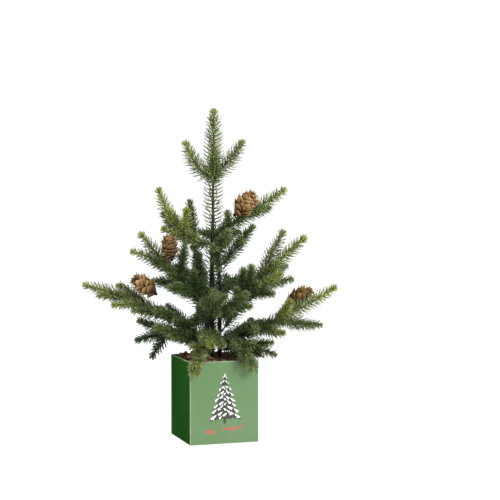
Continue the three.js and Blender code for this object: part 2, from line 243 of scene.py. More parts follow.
def grid_faces(rows, cols):
    """Quads of a sheet of rows and columns of points."""
    starts = (i * cols + j for i in range(rows - 1) for j in range(cols - 1))
    return [(a, a + cols, a + cols + 1, a + 1) for a in starts]


def grid_rim(rows, cols):
    """Each edge round the rim of such a sheet, as a pair of points."""
    rim = list(range(cols))
    rim += [i * cols + cols - 1 for i in range(1, rows)]
    rim += [(rows - 1) * cols + j for j in range(cols - 2, -1, -1)]
    rim += [i * cols for i in range(rows - 2, 0, -1)]
    return zip(rim, rim[1:] + rim[:1])


def frames_along(path):
    """Unit tangent, side and upper vectors at each point of a path."""
    t = np.gradient(path, axis=0)
    t /= np.linalg.norm(t, axis=1)[:, None]
    level = UP if abs(t[:, 2]).max() < 0.97 else np.array([0.0, 1.0, 0.0])
    side = np.cross(t, level)
    side /= np.linalg.norm(side, axis=1)[:, None]
    return t, side, np.cross(side, t)


def tube(path, radii, sides, lump=0.0, turns=0.0):
    """A round tube along a path. lump and turns press a spiral wrap into it."""
    _, side, upper = frames_along(path)
    rings = []
    for i, (p, r) in enumerate(zip(path, radii)):
        a = 2 * np.pi * np.arange(sides) / sides
        wave = 1 + lump * np.sin(a + 2 * np.pi * turns * i / len(path))
        across, rise = (r * wave * np.cos(a))[:, None], (r * wave * np.sin(a))[:, None]
        rings.append(p + across * side[i] + rise * upper[i])
    return np.concatenate(rings), ring_faces(len(path), sides)


def bezier(start, end, bow, out, count, lo=0.0, hi=1.0):
    """Points on a curve whose middle is lifted by bow and pushed outwards by out, from lo to hi along it."""
    push = end - start
    push[2] = 0
    middle = (start + end) / 2 + (unit(push) * out if np.linalg.norm(push) > 1e-9 else 0) * MM
    middle = middle + UP * bow * MM
    u = np.linspace(lo, hi, count)[:, None]
    return (1 - u) ** 2 * start + 2 * u * (1 - u) * middle + u ** 2 * end


# ---------------------------------------------------------------- materials
def material(name):
    """A new material, its node tree and its one shader."""
    m = bpy.data.materials.new(name)
    m.use_nodes = True
    tree = m.node_tree
    tree.nodes.clear()
    out = tree.nodes.new("ShaderNodeOutputMaterial")
    shader = tree.nodes.new("ShaderNodeBsdfPrincipled")
    tree.links.new(shader.outputs[0], out.inputs[0])
    return m, tree, shader


def node(tree, kind, inputs, **settings):
    """A node with its settings, and its inputs given as numbers, colours or other sockets."""
    n = tree.nodes.new(kind)
    for key, value in settings.items():
        setattr(n, key, value)
    for key, value in inputs.items():
        if isinstance(value, bpy.types.NodeSocket):
            tree.links.new(value, n.inputs[key])
        else:
            n.inputs[key].default_value = value
    return n


def mix(tree, factor, a, b, mode="MIX"):
    """A blend of two colours."""
    inputs = {0: factor, 6: a, 7: b}
    return node(tree, "ShaderNodeMix", inputs, data_type="RGBA", blend_type=mode).outputs[2]


def maths(tree, operation, a, b=0.0):
    """A sum, product or other operation on two values."""
    return node(tree, "ShaderNodeMath", {0: a, 1: b}, operation=operation).outputs[0]


def scaled(tree, value, factor, offset):
    """value * factor + offset."""
    return maths(tree, "ADD", maths(tree, "MULTIPLY", value, factor), offset)


def brighten(tree, colour, factor):
    """The colour with each of its channels multiplied by one factor."""
    grey = node(tree, "ShaderNodeCombineColor", {0: factor, 1: factor, 2: factor}).outputs[0]
    return mix(tree, 1.0, colour, grey, "MULTIPLY")


def object_place(tree):
    """The place on the object, in metres."""
    return node(tree, "ShaderNodeTexCoord", {}).outputs["Object"]


def ramp(tree, factor, stops):
    """A colour read off a row of (place, colour) stops."""
    n = node(tree, "ShaderNodeValToRGB", {0: factor})
    while len(n.color_ramp.elements) < len(stops):
        n.color_ramp.elements.new(0.5)
    for element, (at, colour) in zip(n.color_ramp.elements, stops):
        element.position = at
        element.color = colour
    return n.outputs[0]


def noise(tree, scale, detail, roughness=0.55, vector=None, distortion=0.0):
    """Fractal noise from 0 to 1."""
    where = vector or object_place(tree)
    inputs = {"Vector": where, "Scale": scale, "Detail": detail, "Roughness": roughness,
              "Distortion": distortion}
    return node(tree, "ShaderNodeTexNoise", inputs).outputs[0]


def bump(tree, shader, height, strength, distance):
    """Relief in the surface from a height."""
    inputs = {"Height": height, "Strength": strength, "Distance": distance}
    tree.links.new(node(tree, "ShaderNodeBump", inputs).outputs[0], shader.inputs["Normal"])


def tone_channels(tree):
    """The three channels of the colour that each vertex carries."""
    tone = node(tree, "ShaderNodeAttribute", {}, attribute_name="tone")
    return node(tree, "ShaderNodeSeparateColor", {0: tone.outputs["Color"]}).outputs


BLACK, WHITE = (0, 0, 0, 1), (1, 1, 1, 1)


def needle_material():
    """Moulded needles: tone red runs along a needle, green is its youth, blue its own variation."""
    m, tree, shader = material("needle_plastic")
    along, youth, vary = tone_channels(tree)
    # old needles: their own dark green, darker at the root, painted shade deep in the bundle, and paler at
    # the tip, a painted highlight
    old = ramp(tree, along, [
        (0.0, srgb(20, 38, 15)), (0.45, srgb(42, 70, 32)), (1.0, srgb(92, 110, 74))])
    young = ramp(tree, along, [
        (0.0, srgb(172, 178, 96)), (0.4, srgb(148, 160, 90)), (1.0, srgb(108, 120, 84))])
    fresh = ramp(tree, along, [
        (0.0, srgb(120, 132, 44)), (0.5, srgb(146, 154, 62)), (1.0, srgb(140, 148, 84))])
    colour = mix(tree, ramp(tree, youth, [(0.0, BLACK), (0.8, WHITE)]), old, young)
    colour = mix(tree, ramp(tree, youth, [(0.72, BLACK), (1.0, WHITE)]), colour, fresh)
    colour = brighten(tree, colour, scaled(tree, vary, 1.3, 0.42))
    tree.links.new(colour, shader.inputs["Base Color"])
    grain = noise(tree, 900, 2)
    tree.links.new(scaled(tree, grain, 0.2, 0.34), shader.inputs["Roughness"])
    shader.inputs["Specular IOR Level"].default_value = 0.22
    bump(tree, shader, grain, 0.15, 0.0003)
    return m


def twig_material():
    """The moulded core of a shoot: yellow-green where it is young, dark olive where it is old."""
    m, tree, shader = material("twig_plastic")
    _, youth, _ = tone_channels(tree)
    streak = noise(tree, 260, 4, 0.65)
    old = ramp(tree, streak, [(0.3, srgb(30, 36, 18)), (0.7, srgb(58, 64, 34))])
    young = ramp(tree, streak, [(0.3, srgb(122, 134, 58)), (0.7, srgb(154, 162, 80))])
    tree.links.new(mix(tree, youth, old, young), shader.inputs["Base Color"])
    shader.inputs["Roughness"].default_value = 0.6
    bump(tree, shader, streak, 0.4, 0.0004)
    return m


def wrap_material(name, dark, light, scale):
    """Paper-backed floral tape wound on wire: matt and slightly creased. Its own dark colour turns darker in
    the creases, painted shade, and lighter on the ridges, a painted sheen.
    """
    m, tree, shader = material(name)
    where = object_place(tree)
    stretched = node(tree, "ShaderNodeMapping", {"Vector": where, "Scale": (1.0, 1.0, 0.35)}).outputs[0]
    crease = noise(tree, scale, 5, 0.6, stretched, 0.4)
    patch = noise(tree, scale * 0.12, 3, 0.5, where)
    # darker in the creases, painted shade; lighter on the ridges, a painted sheen
    colour = ramp(tree, crease, [(0.32, dark), (0.72, light)])
    colour = mix(tree, maths(tree, "MULTIPLY", patch, 0.4), colour, srgb(24, 27, 17))
    tree.links.new(colour, shader.inputs["Base Color"])
    tree.links.new(scaled(tree, crease, 0.25, 0.42), shader.inputs["Roughness"])
    shader.inputs["Specular IOR Level"].default_value = 0.2
    bump(tree, shader, crease, 0.5, 0.0006)
    return m


def cone_material():
    """Dried scales: dark towards their foot, in the gaps between them, as painted shade; brown on the face;
    pale and worn at the rim.
    """
    m, tree, shader = material("cone_scale_wood")
    along, edge, vary = tone_channels(tree)
    fibre = noise(tree, 700, 4, 0.6)
    # along each scale: dark at the foot, where it lies in the gaps, painted shade; then brown, and pale
    # towards the rim
    colour = ramp(tree, along, [(0.0, srgb(36, 21, 10)), (0.5, srgb(94, 62, 30)), (0.74, srgb(148, 110, 64)),
                                (0.92, srgb(178, 144, 94))])
    colour = mix(tree, maths(tree, "MULTIPLY", edge, 0.75), colour, srgb(214, 188, 140))
    streaks = ramp(tree, fibre, [(0.3, (0.58, 0.52, 0.46, 1)), (0.65, (1.14, 1.1, 1.04, 1))])
    colour = mix(tree, 0.85, colour, streaks, "MULTIPLY")
    # brightness from each scale's shade: random per scale, and lower on the cones at the left, painted shade
    colour = brighten(tree, colour, scaled(tree, vary, 0.66, 0.46))
    tree.links.new(colour, shader.inputs["Base Color"])
    shader.inputs["Specular IOR Level"].default_value = 0.2
    shader.inputs["Roughness"].default_value = 0.62
    bump(tree, shader, fibre, 0.5, 0.0005)
    return m


def bark_material():
    """Bark chips: a colour of its own for each chip, with fibrous grain."""
    m, tree, shader = material("bark_chip")
    shade, red, _ = tone_channels(tree)
    grain = noise(tree, 420, 5, 0.65, None, 0.8)
    dark = ramp(tree, grain, [(0.3, srgb(50, 36, 24)), (0.7, srgb(110, 84, 56))])
    light = ramp(tree, grain, [(0.3, srgb(150, 122, 86)), (0.7, srgb(214, 190, 150))])
    warm = ramp(tree, grain, [(0.3, srgb(112, 78, 48)), (0.7, srgb(174, 132, 90))])
    colour = mix(tree, shade, dark, light)
    colour = mix(tree, red, colour, warm)
    tree.links.new(colour, shader.inputs["Base Color"])
    shader.inputs["Roughness"].default_value = 0.85
    bump(tree, shader, grain, 0.7, 0.0008)
    return m


BOX_LO, BOX_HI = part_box("box_front")[0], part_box("box_back")[1]
BOX_HALF, BOX_TOP = BOX_HI.x, BOX_HI.z


def paint_material(name, base, cloud, edge, gloss):
    """Satin paint on board, thin and worn on the edges and corners of the box, where the board is pale."""
    m, tree, shader = material(name)
    where = object_place(tree)
    x, y, z = node(tree, "ShaderNodeSeparateXYZ", {0: where}).outputs
    patch = noise(tree, 14, 4, 0.5, where)
    fine = noise(tree, 260, 4, 0.6, where)
    colour = mix(tree, ramp(tree, patch, [(0.35, BLACK), (0.7, WHITE)]), base, cloud)
    # how near a point is to the box's corners, rim and foot, in metres
    from_x = maths(tree, "SUBTRACT", BOX_HALF, maths(tree, "ABSOLUTE", x))
    from_y = maths(tree, "SUBTRACT", BOX_HALF, maths(tree, "ABSOLUTE", y))
    corner = maths(tree, "ADD", from_x, from_y)
    rim = maths(tree, "SUBTRACT", BOX_TOP, z)
    ends = maths(tree, "MINIMUM", rim, z)
    nearest = maths(tree, "MINIMUM", corner, ends)
    ragged = maths(tree, "ADD", nearest, maths(tree, "MULTIPLY", maths(tree, "SUBTRACT", fine, 0.5), 0.0011))
    worn = ramp(tree, maths(tree, "MULTIPLY", ragged, 400), [(0.16, WHITE), (0.42, BLACK)])
    colour = mix(tree, worn, colour, edge)
    tree.links.new(colour, shader.inputs["Base Color"])
    tree.links.new(scaled(tree, fine, 0.16, 0.3), shader.inputs["Roughness"])
    shader.inputs["Specular IOR Level"].default_value = gloss
    bump(tree, shader, fine, 0.12, 0.0003)
    return m


def plain_material(name, low, high, scale, roughness, depth=0.0006):
    """A matt material with mottled colour and a little relief, for print, board, foam and plaster."""
    m, tree, shader = material(name)
    grain = noise(tree, scale, 4, 0.6)
    tree.links.new(ramp(tree, grain, [(0.3, low), (0.7, high)]), shader.inputs["Base Color"])
    shader.inputs["Roughness"].default_value = roughness
    bump(tree, shader, grain, 0.35, depth)
    return m


NEEDLE = needle_material()
TWIG = twig_material()
WIRE_WRAP = wrap_material("branch_wrap", srgb(34, 30, 20), srgb(72, 66, 44), 700)
STEM_WRAP = wrap_material("stem_wrap", srgb(10, 9, 7), srgb(38, 33, 26), 420)
CONE = cone_material()
BARK = bark_material()
# one deep green satin paint for the whole box, in two copies: this paler one is a painted reflection of the
# bright studio
GREEN_PAINT_WITH_PAINTED_GLARE = paint_material("green_paint_painted_glare", srgb(92, 126, 80), srgb(103, 131, 94),
                            srgb(168, 184, 150), 0.4)
# the same green made darker for the sides: painted shade
GREEN_PAINT_WITH_PAINTED_SHADE = paint_material("green_paint_painted_shade", srgb(32, 76, 26), srgb(40, 84, 34),
                            srgb(168, 184, 146), 0.0)
BOARD = plain_material("raw_board", srgb(150, 120, 84), srgb(186, 154, 112), 120, 0.8)
PLASTER = plain_material("cast_plaster", srgb(200, 196, 188), srgb(226, 222, 214), 60, 0.9)
FOAM = plain_material("green_foam", srgb(40, 62, 38), srgb(62, 88, 56), 500, 0.95, 0.001)
SNOW_INK = plain_material("print_white", srgb(232, 234, 230), srgb(250, 250, 248), 500, 0.45, 0.0001)
TREE_INK = plain_material("print_dark", srgb(42, 46, 38), srgb(62, 64, 54), 500, 0.45, 0.0001)
RED_INK = plain_material("print_red", srgb(162, 96, 70), srgb(178, 112, 84), 500, 0.45, 0.0001)


# ---------------------------------------------------------------- foliage
NEEDLE_LENGTH = 15.2
NEEDLE_WIDTH = 1.65
# a needle has rings of a few sides and a point: how wide each ring is, its tone, and the steps between them
GIRTH = (0.86, 1.0, 0.9, 0.6)
RING_TONE = (0.0, 0.35, 0.65, 0.9)
STEPS = (0.3, 0.3, 0.25, 0.15)
RINGS, SIDES = len(GIRTH), 3
# millimetres between two rows of long needles, and the needles in the tuft at the end of a shoot
ROW_STEP = 5.0
TUFT = 30
GOLDEN = math.radians(137.5)
# how far the needles begin before the end of the bare wire, which the first ones leave at a slant
EARLY = 15
# sprigs: the turn from their branch in degrees, how much they rise or fall, and their length
SPRIG_TURN, SPRIG_RISE, SPRIG_LENGTH = (24, 44), (0.15, 0.5), (26, 36)
# the radius of the branch wire, and how it swells where it is bound into the stem
WIRE, BOUND = 1.15, (1.9, 1.8, 1.65, 1.45, 1.25)


def needle_bundle(soup, roots, tangents, radials, lengths, open_from, open_to, widths, youths):
    """Curved tapering needles, all of one bundle at once. Angles are from the shoot's own direction."""
    count = len(roots)
    lengths, widths = lengths[:, None] * MM, widths * MM
    binormals = np.cross(tangents, radials)
    centre, angle = roots.copy(), open_from.copy()
    points = []
    for i in range(RINGS + 1):
        direction = np.cos(angle)[:, None] * tangents + np.sin(angle)[:, None] * radials
        points.append((centre.copy(), direction))
        if i < RINGS:
            angle = angle + (open_to - open_from) * STEPS[i]
            centre = centre + direction * lengths * STEPS[i]
    per = RINGS * SIDES + 1
    verts = np.zeros((count, per, 3))
    for i in range(RINGS):
        centre, direction = points[i]
        normal = np.cross(direction, binormals)
        for k in range(SIDES):
            a = 2 * np.pi * k / SIDES
            offset = (np.cos(a) * binormals + 0.8 * np.sin(a) * normal) * (widths * GIRTH[i] / 2)[:, None]
            verts[:, i * SIDES + k] = centre + offset
    verts[:, -1] = points[RINGS][0]
    one = ring_faces(RINGS, SIDES, closed=False)
    last = (RINGS - 1) * SIDES
    one.extend((last + k, last + (k + 1) % SIDES, per - 1) for k in range(SIDES))
    one.append(tuple(range(SIDES - 1, -1, -1)))
    faces = [tuple(v + n * per for v in f) for n in range(count) for f in one]
    tone = np.zeros((count, per, 3))
    for i in range(RINGS):
        tone[:, i * SIDES:(i + 1) * SIDES, 0] = RING_TONE[i]
    tone[:, -1, 0] = 1.0
    tone[:, :, 1] = youths[:, None]
    tone[:, :, 2] = RNG.random(count)[:, None] ** 1.25
    soup.add(verts.reshape(-1, 3), faces, 0, tone.reshape(-1, 3))


def add_tuft(soup, at, total, youth):
    """Short needles that curve forward round the end of a shoot. at gives the place and frame along it."""
    phi = np.arange(TUFT) * GOLDEN + RNG.random()
    order = (np.arange(TUFT) + 0.5) / TUFT
    p, tg, sd, up = at(total - 7.4 + 3.4 * order)
    radial = np.cos(phi)[:, None] * sd + np.sin(phi)[:, None] * up
    length = 9.8 - 3.0 * order + RNG.normal(0, 0.5, TUFT)
    start = np.radians(88 - 66 * order + RNG.normal(0, 5, TUFT))
    stop = np.radians(26 - 16 * order + RNG.normal(0, 5, TUFT))
    young = np.clip(youth + 0.15 + RNG.normal(0, 0.06, TUFT), 0, 1)
    needle_bundle(soup, p, tg, radial, length, start, stop, np.full(TUFT, 0.92 * NEEDLE_WIDTH), young)


def grow_shoot(soup, path, youth, start_thick=1.0, open_part=0.0, stretch=1.0, tuft=True):
    """Needles in rows, a moulded core and a round end tuft along one shoot.

    youth is (at the root, at the tip, how late it rises)."""
    seg = np.linalg.norm(np.diff(path, axis=0), axis=1)
    s = np.concatenate([[0], np.cumsum(seg)]) / MM
    total = s[-1]
    t, side, upper = frames_along(path)

    def at(where):
        return [np.stack([np.interp(where, s, field[:, k]) for k in range(3)], 1)
                for field in (path, t, side, upper)]

    def youth_at(where):
        return youth[0] + (youth[1] - youth[0]) * np.clip(where / total, 0, 1) ** youth[2]

    # full rows of long needles, with a shorter row between each pair, and thicker on old wood
    long_number, short_number = (11, 10) if youth[1] < 0.45 else (9, 7)
    where, phi, scale = [], [], []
    for row in range(int((total - 6) / ROW_STEP * 2)):
        long_row = row % 2 == 0
        number = long_number if long_row else short_number
        if row * ROW_STEP / 2 < open_part * total:
            number = 8 if long_row else 0
        turn = row * 0.5 * 2 * np.pi / long_number + (0 if long_row else 0.3)
        where.append(1.0 + row * ROW_STEP / 2 + RNG.normal(0, 0.3, number))
        phi.append(2 * np.pi * np.arange(number) / number + turn + RNG.normal(0, 0.07, number))
        scale.append((1.0 if long_row else 0.62) * RNG.normal(1, 0.05, number))
    where, phi, scale = (np.concatenate(v) for v in (where, phi, scale))
    count = len(where)
    p, tg, sd, up = at(where)
    radial = np.cos(phi)[:, None] * sd + np.sin(phi)[:, None] * up
    left = total - where
    length = stretch * NEEDLE_LENGTH * scale * np.interp(left, [0, 10, 15, 42], [0.4, 0.42, 0.74, 1.0])
    length *= np.interp(where, [0, 16], [0.72, 1])
    lift = np.sin(phi)
    splay = np.interp(left, [10, 70], [0, 9])
    start = np.radians(76 + splay + 4 * RNG.normal(0, 1, count) - 5 * lift)
    stop = np.radians(24 + splay + 5 * RNG.normal(0, 1, count) - 5 * lift)
    width = NEEDLE_WIDTH * RNG.normal(1, 0.07, count)
    young = np.clip(youth_at(where) + RNG.normal(0, 0.05, count), 0, 1)
    needle_bundle(soup, p, tg, radial, length, start, stop, width, young)
    # the round tuft at its end
    if tuft:
        add_tuft(soup, at, total, youth[1])
    # the moulded core
    rings = max(8, int(total / 2.5))
    core = np.stack([np.interp(np.linspace(0, total - 2, rings), s, path[:, k]) for k in range(3)], 1)
    radii = np.linspace(1.7 * start_thick, 1.0, rings) * (1 + 0.12 * RNG.random(rings)) * MM
    verts, faces = tube(core, radii, 8, 0.12, total / 9)
    tone = np.zeros((len(verts), 3))
    tone[:, 1] = np.repeat(np.clip(1.5 * youth_at(np.linspace(0, total, rings)) - 0.5, 0, 1), 8)
    tone[:, 2] = 0.5
    soup.add(verts, faces, 1, tone)


def grow_branch(name, root, tip, row):
    """All needles and twigs of one spray, and the wire that carries it."""
    length = np.linalg.norm(tip - root) / MM
    start = max(row["bare"] - EARLY, 1) / length
    soup = Soup()
    path = bezier(root, tip, row["bow"], row["out"], 60, start, 1)
    y0, y1 = row["youth"]
    stretch = row.get("stretch", 1.0)
    grow_shoot(soup, path, (y0, y1, 1.0), 1.2, row.get("open_part", 0.0), stretch)
    for at, reach, azimuth, z, bow, youth in row["shoots"]:
        begin = bezier(root, tip, row["bow"], row["out"], 2, at, 1)[0]
        shoot = bezier(begin, polar(reach, azimuth, z), bow, 0, 40)
        grow_shoot(soup, shoot, (youth * (0.3 + 0.5 * youth), youth, 0.9), stretch=stretch)
    count, first, last = row.get("sprigs", (0, 0, 0))
    for k in range(count):
        place = first + (last - first) * (k + 0.5) / count
        begin, ahead = bezier(root, tip, row["bow"], row["out"], 2, place, place + 0.02)
        turn = (1 if k % 2 else -1) * math.radians(RNG.uniform(*SPRIG_TURN))
        rise = (1 if k % 4 < 2 else -1) * RNG.uniform(*SPRIG_RISE)
        forward = unit(ahead - begin)
        forward = np.array([forward[0] * math.cos(turn) - forward[1] * math.sin(turn),
                            forward[0] * math.sin(turn) + forward[1] * math.cos(turn), forward[2] + rise])
        end = begin + unit(forward) * RNG.uniform(*SPRIG_LENGTH) * MM
        youth = y0 + (y1 - y0) * place
        grow_shoot(soup, bezier(begin, end, 1, 0, 20), (youth, youth + 0.1, 1.0), 0.8, tuft=False)
    foliage = soup.make(f"{name}_foliage", [NEEDLE, TWIG])
    settle(foliage, name, [f"{name}_spray"])
    # the wrapped wire: bare from inside the stem, hidden among the needles further out
    soup = Soup()
    wire = bezier(root, tip, row["bow"], row["out"], 46, 0, 0.8)
    away = wire[1] - wire[0]
    inward = [wire[0] - unit(away) * k * MM for k in (3.4, 2.2, 1.1)]
    path = np.concatenate([inward, wire])
    radii = np.full(len(path), WIRE) * MM
    radii[:len(BOUND)] = np.array(BOUND) * MM
    verts, faces = tube(path, radii, 10, 0.06, len(path) / 3)
    soup.add(verts, faces, 0)
    stalk = soup.make(f"{name}_stalk", [WIRE_WRAP])
    settle(stalk, name, [f"{name}_wire"])


ROOTS = {j["child"]: np.array(j["pos_m"]) for j in frame["record"]["behaviour"]["joints"]}
for name, row in {**BRANCHES, "crown": CROWN}.items():
    grow_branch(name, ROOTS[name], polar(*row["tip"]), row)


# ---------------------------------------------------------------- trunk
def grow_stem(name, spec):
    """One stem, wound with tape that climbs round it."""
    points, radii = np.array(spec["points"], float), np.array(spec["radii"])
    low, high = points[0, 2], points[-1, 2]
    z = np.arange(low + 0.2, high - 0.1, 1.6)
    path = np.stack([np.interp(z, points[:, 2], points[:, k]) for k in range(3)], 1)
    girth = np.interp(z, points[:, 2], radii)
    soup = Soup()
    wind = 2 * np.pi * z / 11
    sides = 28
    angle = 2 * np.pi * np.arange(sides) / sides
    rings = []
    for p, r, w, height in zip(path, girth, wind, z):
        # tape edge: a small step that climbs round the stem, over slow unevenness
        step = ((angle - w) / (2 * np.pi)) % 1.0
        rough = 0.03 * np.sin(3 * angle + height * 0.21) + 0.02 * np.sin(5 * angle - height * 0.4)
        radius = (r - 0.12) * (1 + rough) + 0.28 * step - 0.1
        ring = np.stack([radius * np.cos(angle), radius * np.sin(angle), np.zeros(sides)], 1)
        rings.append(p + ring)
    verts = np.concatenate(rings) * MM
    soup.add(verts, ring_faces(len(z), sides), 0)
    stem = soup.make(f"{name}_wrapped", [STEM_WRAP])
    return settle(stem, "base", [name])


def clothe_stem(name, low, high):
    """Thin rows of needles that stand along a stem between two heights."""
    points = np.array(STEMS[name]["points"], float)
    soup = Soup()
    number = 6
    for row, z in enumerate(np.arange(low, high, 4.6)):
        phi = 2 * np.pi * (np.arange(number) + 0.5 * (row % 2)) / number + RNG.normal(0, 0.12, number)
        radial = np.stack([np.cos(phi), np.sin(phi), np.zeros(number)], 1)
        centre = np.array([np.interp(z, points[:, 2], points[:, k]) for k in range(3)]) * MM
        girth = np.interp(z, points[:, 2], STEMS[name]["radii"]) * MM
        roots = centre + radial * (girth - 0.8 * MM) + UP * RNG.normal(0, 0.4, number)[:, None] * MM
        length = NEEDLE_LENGTH * RNG.normal(0.95, 0.06, number)
        start, stop = np.radians(RNG.normal(74, 4, number)), np.radians(RNG.normal(20, 5, number))
        needle_bundle(soup, roots, np.tile(UP, (number, 1)), radial, length, start, stop,
                      np.full(number, NEEDLE_WIDTH), np.clip(RNG.normal(0.1, 0.06, number), 0, 1))
    needles = soup.make(f"{name}_needles", [NEEDLE])
    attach(needles, "base")


for name, spec in STEMS.items():
    grow_stem(name, spec)
clothe_stem("stem_main", 196, 284)
clothe_stem("stem_right", 200, 238)
clothe_stem("stem_rear", 108, 198)


# ---------------------------------------------------------------- cones
# the outline of a cone: places along it, and how wide it is there in shares of its radius
OVOID = ([0, 0.08, 0.2, 0.38, 0.58, 0.78, 0.92, 1], [0.55, 0.82, 1.0, 1.1, 1.1, 1.0, 0.8, 0.6])


def scale_shape(length, width, cup, thick, point):
    """One cone scale: a cupped, ribbed paddle with a rounded or pointed rim, closed and with thickness."""
    # half its width in each row, in shares of the widest, from the foot to the rim
    outline = [0.42, 0.62, 0.84, 1.0, 1.0, 0.8, 0.3 - 0.22 * point]
    rows, cols = len(outline), 9
    top, bottom, along, edge = [], [], [], []
    for i in range(rows):
        u = i / (rows - 1)
        half = width / 2 * outline[i] * (1 - 0.35 * point * max(u - 0.5, 0) * 2)
        for j in range(cols):
            v = 2 * j / (cols - 1) - 1
            x = length * (u - 0.05 * v * v * u ** 3)
            y = half * v
            rib = j % 2
            z = cup * (v * v * 0.6 * (1 - 0.4 * u) - 0.75 * u ** 2) + 0.14 * rib * u
            t = thick * (1.0 - 0.45 * u) * (1 - 0.5 * abs(v))
            top.append((x, y, z + t / 2))
            bottom.append((x, y, z - t / 2))
            along.append(u)
            edge.append(max(abs(v) ** 5 * u, u ** 7, 0.3 * rib * u))
    n = rows * cols
    faces = []
    for a, b, c, d in grid_faces(rows, cols):
        faces += [(a, b, c, d), (n + a, n + d, n + c, n + b)]
    faces += [(a, b, n + b, n + a) for a, b in grid_rim(rows, cols)]
    return np.array(top + bottom), faces, np.array(along * 2), np.array(edge * 2)


def grow_cone(name, spec):
    """A cone of overlapping scales, set in a spiral round a spindle."""
    foot, tip = np.array(spec["foot"], float), np.array(spec["tip"], float)
    radius, (dull, pale), loose = spec["radius"], spec["shade"], spec["loose"]
    axis = unit(tip - foot)
    length = np.linalg.norm(tip - foot)
    side = unit(np.cross(axis, UP))
    other = np.cross(axis, side)
    soup = Soup()
    # the short stalk and the spindle inside the scales
    path = np.array([foot + axis * k for k in np.linspace(0, length * 0.86, 14)])
    girth = [1.6, 1.8, radius * 0.3, radius * 0.36, radius * 0.16]
    core = np.interp(np.linspace(0, 1, 14), [0, 0.06, 0.14, 0.6, 1], girth)
    verts, faces = tube(path * MM, core * MM, 12)
    tone = np.zeros((len(verts), 3))
    tone[:, 2] = dull
    soup.add(verts, faces, 0, tone)
    count = spec["scales"]
    for k in range(count):
        u = (k + 0.5) / count
        phi = k * GOLDEN + RNG.normal(0, 0.07)
        out = math.cos(phi) * side + math.sin(phi) * other
        place = 2.6 + (length - 9.5) * u ** 0.95
        # broad plates round the foot, standing open towards the tip
        opening = math.radians(np.interp(u, [0, 0.12, 0.4, 0.75, 1.0], spec["open"]) + RNG.normal(0, loose))
        inner = radius * np.interp(u, [0, 0.5, 1], [0.16, 0.24, 0.08])
        # the scale's length, found step by step, brings its point out to the outline
        span = radius * 0.8
        for _ in range(12):
            ahead = (place + span * math.cos(opening)) / length
            reach = radius * np.interp(ahead, *OVOID) - inner
            ahead_limit = (length - place) / max(math.cos(opening), 0.2)
            span = 0.5 * span + 0.5 * min(reach / math.sin(opening), ahead_limit)
        span = max(span, 4.0) * RNG.normal(1.0, 0.08)
        wide = radius * np.interp(u, [0, 0.3, 0.6, 1], spec["wide"]) * RNG.normal(1, 0.09)
        point = float(np.clip(u * 1.2 - 0.1 + RNG.normal(0, 0.25), 0, 1))
        shape, faces, along, edge = scale_shape(span, wide, 1.2, 0.7, point)
        forward = math.cos(opening) * axis + math.sin(opening) * out
        across = np.cross(axis, out)
        normal = np.cross(forward, across)
        twist = RNG.normal(0, 0.025 * loose)
        across = math.cos(twist) * across + math.sin(twist) * normal
        normal = np.cross(forward, across)
        base = foot + axis * place + out * inner
        verts = base + shape[:, :1] * forward + shape[:, 1:2] * across + shape[:, 2:3] * normal
        # a random shade within the cone's range; the lower ranges of the left cones are painted shade
        tone = np.stack([along, edge, np.full(len(along), RNG.uniform(dull, pale))], 1)
        soup.add(verts * MM, faces, 0, tone)
    cone = soup.make(f"{name}_scales", [CONE])
    soften = cone.modifiers.new("soften", "SUBSURF")
    soften.levels = soften.render_levels = 1
    return settle(cone, spec["body"], [name])


for name, spec in CONES.items():
    grow_cone(name, spec)


# ---------------------------------------------------------------- bark chips
# half the room between the boards, the usual height of the heap, how many chips, and their least and
# greatest length, width and thickness
INNER = BOX_HALF - 0.0036
HEAP_Z = 0.108
CHIPS = 460
CHIP_LEAST, CHIP_MOST = (5.0, 3.6, 2.4), (10.5, 7.5, 5.0)


def chip_surface(x, y):
    """Height of the heaped chips at a place in the box, in metres."""
    heap = 6.5 * math.cos(20 * (x + 0.020)) * math.cos(20 * (y - 0.025))
    return HEAP_Z + heap * MM


def add_chip(soup, centre, size, turn, tilt, tone):
    """A split, angular chip: a low block with broken corners."""
    n = 7
    angles = np.sort(RNG.random(n) * 0.5 + np.arange(n)) * 2 * np.pi / n
    radius = RNG.uniform(0.72, 1.12, n)
    ring = np.stack([np.cos(angles) * radius * size[0] / 2, np.sin(angles) * radius * size[1] / 2], 1)
    rows = []
    for level, shrink in ((-0.5, 0.78), (-0.22, 1.0), (0.25, 0.96), (0.5, 0.7)):
        wobble = RNG.uniform(-0.12, 0.12, n)
        rows.append(np.column_stack([ring * shrink, (level + wobble) * size[2]]))
    verts = np.concatenate(rows)
    ct, st, cp, sp = math.cos(turn), math.sin(turn), math.cos(tilt), math.sin(tilt)
    spin = np.array([[ct, -st, 0], [st, ct, 0], [0, 0, 1]])
    lean = np.array([[1, 0, 0], [0, cp, -sp], [0, sp, cp]])
    verts = verts @ lean.T @ spin.T + centre
    soup.add(verts, ring_faces(4, n), 0, tone)


